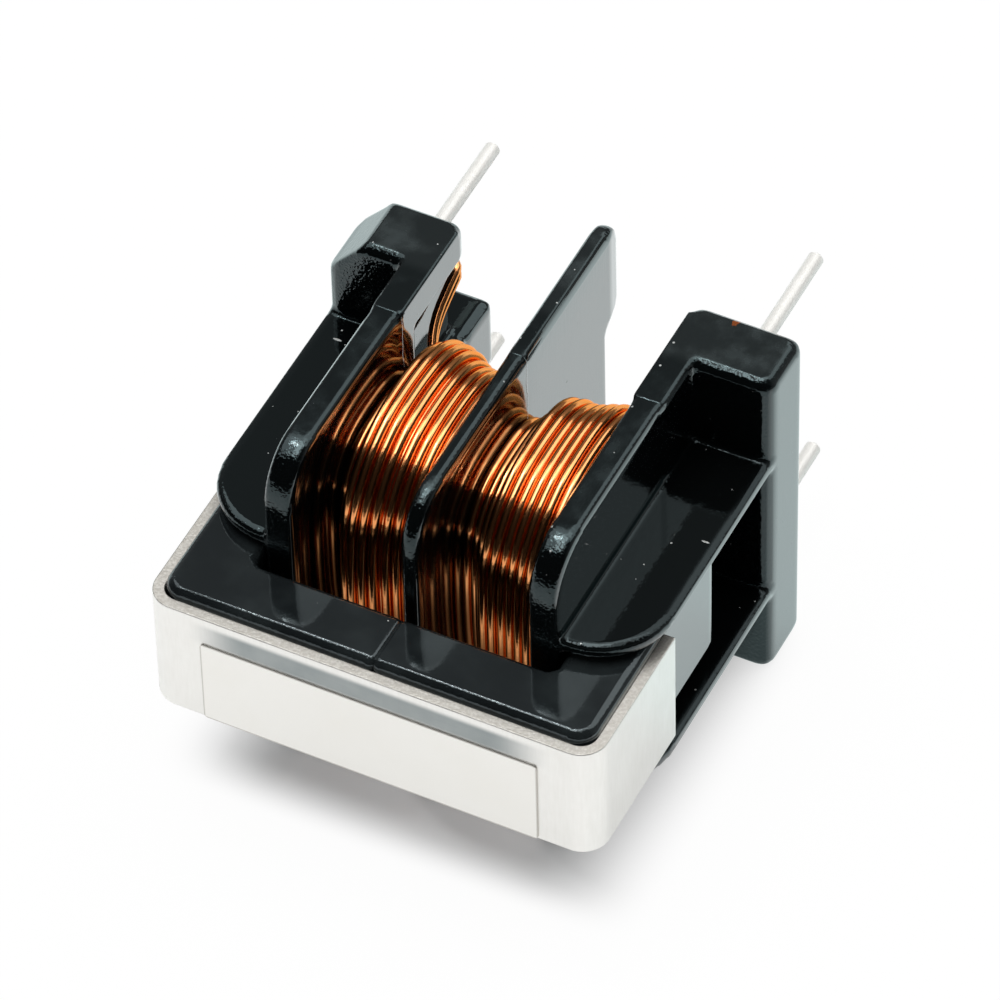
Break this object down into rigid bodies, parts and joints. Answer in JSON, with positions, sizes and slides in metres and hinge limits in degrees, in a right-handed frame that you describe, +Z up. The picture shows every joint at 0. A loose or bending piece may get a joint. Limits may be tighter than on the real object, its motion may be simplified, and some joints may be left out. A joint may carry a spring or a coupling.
{
  "type": "common mode choke",
  "caption": "Common mode choke: wire coils side by side on a flanged plastic bobbin with pin bars, around a ferrite core loop held by a bent spring clip.",
  "frame": {"origin": "under the middle of the whole part, on the plane of the flanges' lower edges", "axes": "+X along the bobbin tube, +Y the way the pins point, +Z up with the part lying on its flanges"},
  "size_m": [0.0178, 0.0232, 0.015],
  "materials": {
    "bobbin_plastic": "black moulding under a clear dipped varnish",
    "ferrite": "fired ferrite, ground flat and varnished to a dark gloss",
    "clip_steel": "tinned spring steel, satin",
    "label_film": "plain silver-grey film, no print",
    "tinned_pin": "tinned copper-clad steel wire",
    "solder": "bright tin solder",
    "enamelled_wire": "copper wire under clear amber enamel"
  },
  "bodies": {
    "root": {"bobbin": "bobbin_plastic", "core_left": "ferrite", "core_right": "ferrite", "clip": "clip_steel", "label": "label_film", "pin_left_upper": "tinned_pin", "pin_left_lower": "tinned_pin", "pin_right_upper": "tinned_pin", "pin_right_lower": "tinned_pin", "solder_left_upper": "solder", "solder_left_lower": "solder", "solder_right_upper": "solder", "solder_right_lower": "solder", "winding_left": "enamelled_wire", "winding_right": "enamelled_wire"}
  },
  "joints": []
}
